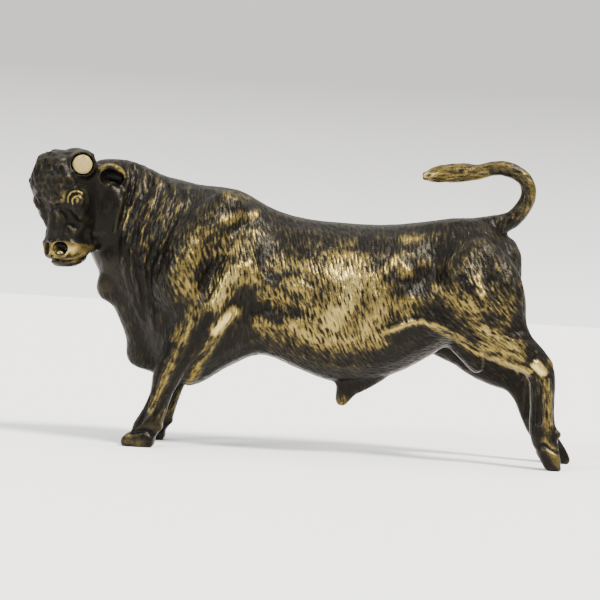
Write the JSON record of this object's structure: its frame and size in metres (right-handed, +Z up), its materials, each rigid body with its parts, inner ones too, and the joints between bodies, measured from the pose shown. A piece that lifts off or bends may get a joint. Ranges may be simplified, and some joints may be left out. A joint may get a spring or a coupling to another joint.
{
  "type": "bull sculpture",
  "caption": "Small cast bronze bull standing on its hooves, head turned to its left, tail curled forward over the rump, horns lost to pale stubs.",
  "frame": {"origin": "on the ground, under the middle of the sculpture's bounding box", "axes": "+Z up, +X towards the tail so that the bull faces -X, +Y towards the bull's right side"},
  "size_m": [0.139, 0.0371, 0.0755],
  "materials": {
    "bronze": "dark brown-black patina, rubbed through to golden metal on the high places",
    "stub": "matt pale cream, bone-like"
  },
  "bodies": {
    "root": {"bull_casting": "bronze", "horn_stub_left": "stub", "horn_stub_right": "stub"}
  },
  "joints": []
}
